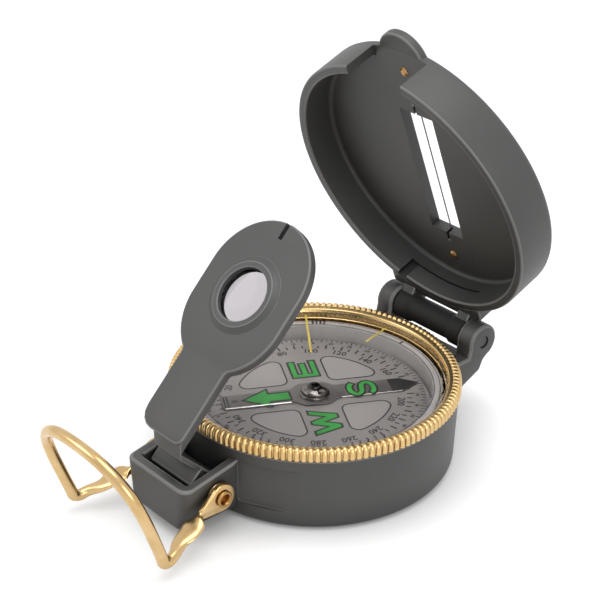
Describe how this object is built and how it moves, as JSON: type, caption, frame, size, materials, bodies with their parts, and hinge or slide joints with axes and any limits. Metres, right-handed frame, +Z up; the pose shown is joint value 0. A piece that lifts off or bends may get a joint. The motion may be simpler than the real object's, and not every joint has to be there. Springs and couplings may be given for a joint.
{
  "type": "magnetic compass",
  "caption": "Folding magnetic compass with a round case, a turning bezel, a hinged lid with a sighting wire, a folding lens arm and a wire thumb loop.",
  "frame": {"origin": "centre of the case's flat underside", "axes": "+Z up through the dial, +Y towards the lid hinge, -Y towards the lens arm and thumb loop"},
  "size_m": [0.0568, 0.0966, 0.0808],
  "materials": {
    "case_grey": "fine satin grain",
    "brass_parts": "polished",
    "steel_parts": "satin",
    "capsule_silver": "silver-grey",
    "card_silver": "printed matt silver",
    "sealing_rubber": "smooth",
    "crystal_clear": "clear",
    "dot_copper": "polished copper colour",
    "jewel_red": "polished"
  },
  "bodies": {
    "case": {"case_body": "case_grey", "capsule_bowl": "capsule_silver", "capsule_gasket": "sealing_rubber", "capsule_crystal": "crystal_clear", "filler_plug": "steel_parts", "pivot_post": "steel_parts", "bezel_spring_ring": "steel_parts", "pivot_rivet": "brass_parts", "loop_washer_left": "brass_parts", "loop_washer_right": "brass_parts", "lid_hinge_pin": "steel_parts"},
    "card": {"compass_card": "card_silver", "magnet_bar": "steel_parts", "bearing_cap": "steel_parts", "bearing_jewel": "jewel_red"},
    "bezel": {"bezel_ring": "brass_parts", "bezel_crystal": "crystal_clear", "crystal_gasket": "sealing_rubber"},
    "lid": {"lid_shell": "case_grey", "sighting_wire": "steel_parts", "sight_dot_front": "dot_copper", "sight_dot_rear": "dot_copper"},
    "lens_arm": {"lens_bracket": "case_grey", "magnifier_lens": "crystal_clear", "lens_retaining_ring": "case_grey"},
    "thumb_loop": {"thumb_loop": "brass_parts"}
  },
  "joints": [
    {"name": "card_turn", "type": "hinge", "parent": "case", "child": "card", "pos_m": [0, 0, 0.0129], "axis": [0, 0, 1], "continuous": true},
    {"name": "bezel_turn", "type": "hinge", "parent": "case", "child": "bezel", "pos_m": [0, 0, 0.0165], "axis": [0, 0, 1], "continuous": true},
    {"name": "lid_fold", "type": "hinge", "parent": "case", "child": "lid", "pos_m": [0, 0.0329, 0.0172], "axis": [-1, 0, 0], "range_deg": [-69, 22]},
    {"name": "lens_arm_fold", "type": "hinge", "parent": "case", "child": "lens_arm", "pos_m": [0, -0.031, 0.008], "axis": [1, 0, 0], "range_deg": [-45.4, 14.5]},
    {"name": "loop_swing", "type": "hinge", "parent": "case", "child": "thumb_loop", "pos_m": [0, -0.031, 0.008], "axis": [1, 0, 0], "range_deg": [-50, 90]}
  ],
  "couplings": [
    {"joint": "lens_arm_fold", "follows": "lid_fold", "ratio": 0.658}
  ]
}
